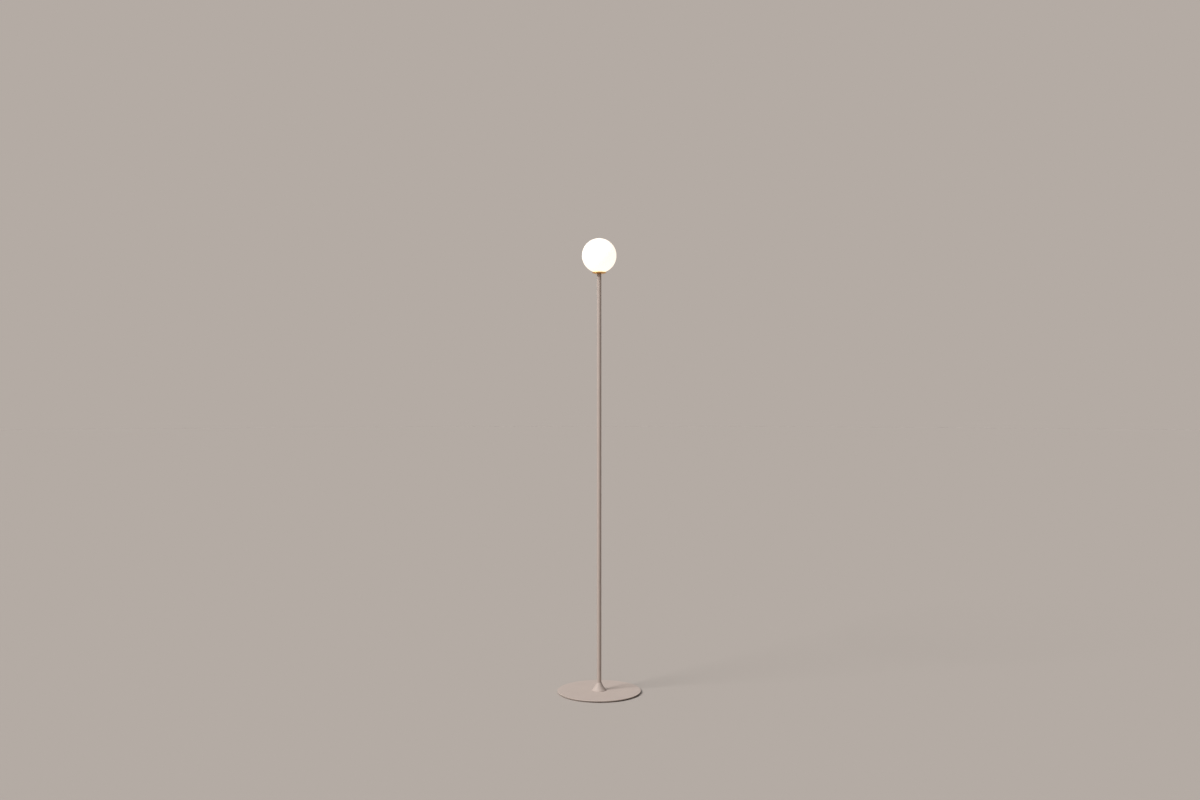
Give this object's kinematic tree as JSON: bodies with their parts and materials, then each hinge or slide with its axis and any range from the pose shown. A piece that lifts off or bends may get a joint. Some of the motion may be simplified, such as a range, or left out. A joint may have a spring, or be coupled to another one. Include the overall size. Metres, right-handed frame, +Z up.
{
  "type": "floor lamp",
  "caption": "Floor lamp: an opal glass globe screwed onto a brass dish, on a slim straight stem that rises from a conical collar on a thin round base.",
  "frame": {"origin": "on the floor, under the middle of the round base", "axes": "+Z up along the stem, -Y the front that the picture sees, +Y the back, where the lead comes in"},
  "size_m": [0.29, 0.29, 1.58],
  "materials": {
    "powder_coat": "matt beige powder coat",
    "pad_rubber": "matt black rubber",
    "zinc_steel": "zinc-plated steel",
    "satin_brass": "satin turned brass",
    "holder_plastic": "white moulded plastic",
    "glazed_ceramic": "glazed ceramic",
    "spring_bronze": "rolled spring bronze",
    "lead_sheath": "white sheath",
    "brown_core": "brown insulation",
    "blue_core": "blue insulation",
    "silicone": "translucent white silicone",
    "opal_glass": "opal blown glass",
    "bulb_plastic": "frosted white plastic",
    "led_board": "white circuit board"
  },
  "bodies": {
    "stand": {"base_plate": "powder_coat", "floor_pads": "pad_rubber", "foot_flange": "zinc_steel", "flange_screws": "zinc_steel", "base_collar": "powder_coat", "stem_tube": "powder_coat", "head_bush": "zinc_steel", "threaded_tube": "zinc_steel", "globe_dish": "satin_brass", "lock_washer": "zinc_steel", "head_nut": "satin_brass", "holder_sleeve": "holder_plastic", "holder_insert": "glazed_ceramic", "insert_screws": "zinc_steel", "contact_clips": "spring_bronze", "inner_lead": "lead_sheath", "live_core": "brown_core", "neutral_core": "blue_core", "cord_grommet": "pad_rubber", "lead_clamp": "zinc_steel", "clamp_screws": "zinc_steel"},
    "seal": {"neck_gasket": "silicone"},
    "globe": {"globe_glass": "opal_glass"},
    "bulb": {"bulb_cap": "bulb_plastic", "bulb_pins": "zinc_steel", "bulb_envelope": "bulb_plastic", "bulb_led_core": "led_board"}
  },
  "joints": [
    {"name": "globe_rise", "type": "slide", "parent": "stand", "child": "seal", "axis": [0, 0, 1], "range_m": [0, 0.0045]},
    {"name": "globe_turn", "type": "hinge", "parent": "seal", "child": "globe", "pos_m": [0, 0, 1.52], "axis": [0, 0, 1], "range_deg": [0, 540]},
    {"name": "bulb_pull", "type": "slide", "parent": "stand", "child": "bulb", "axis": [0, 0, 1], "range_m": [0, 0.012]}
  ],
  "couplings": [
    {"joint": "globe_rise", "follows": "globe_turn", "m_per_rad": 0.00047746}
  ]
}
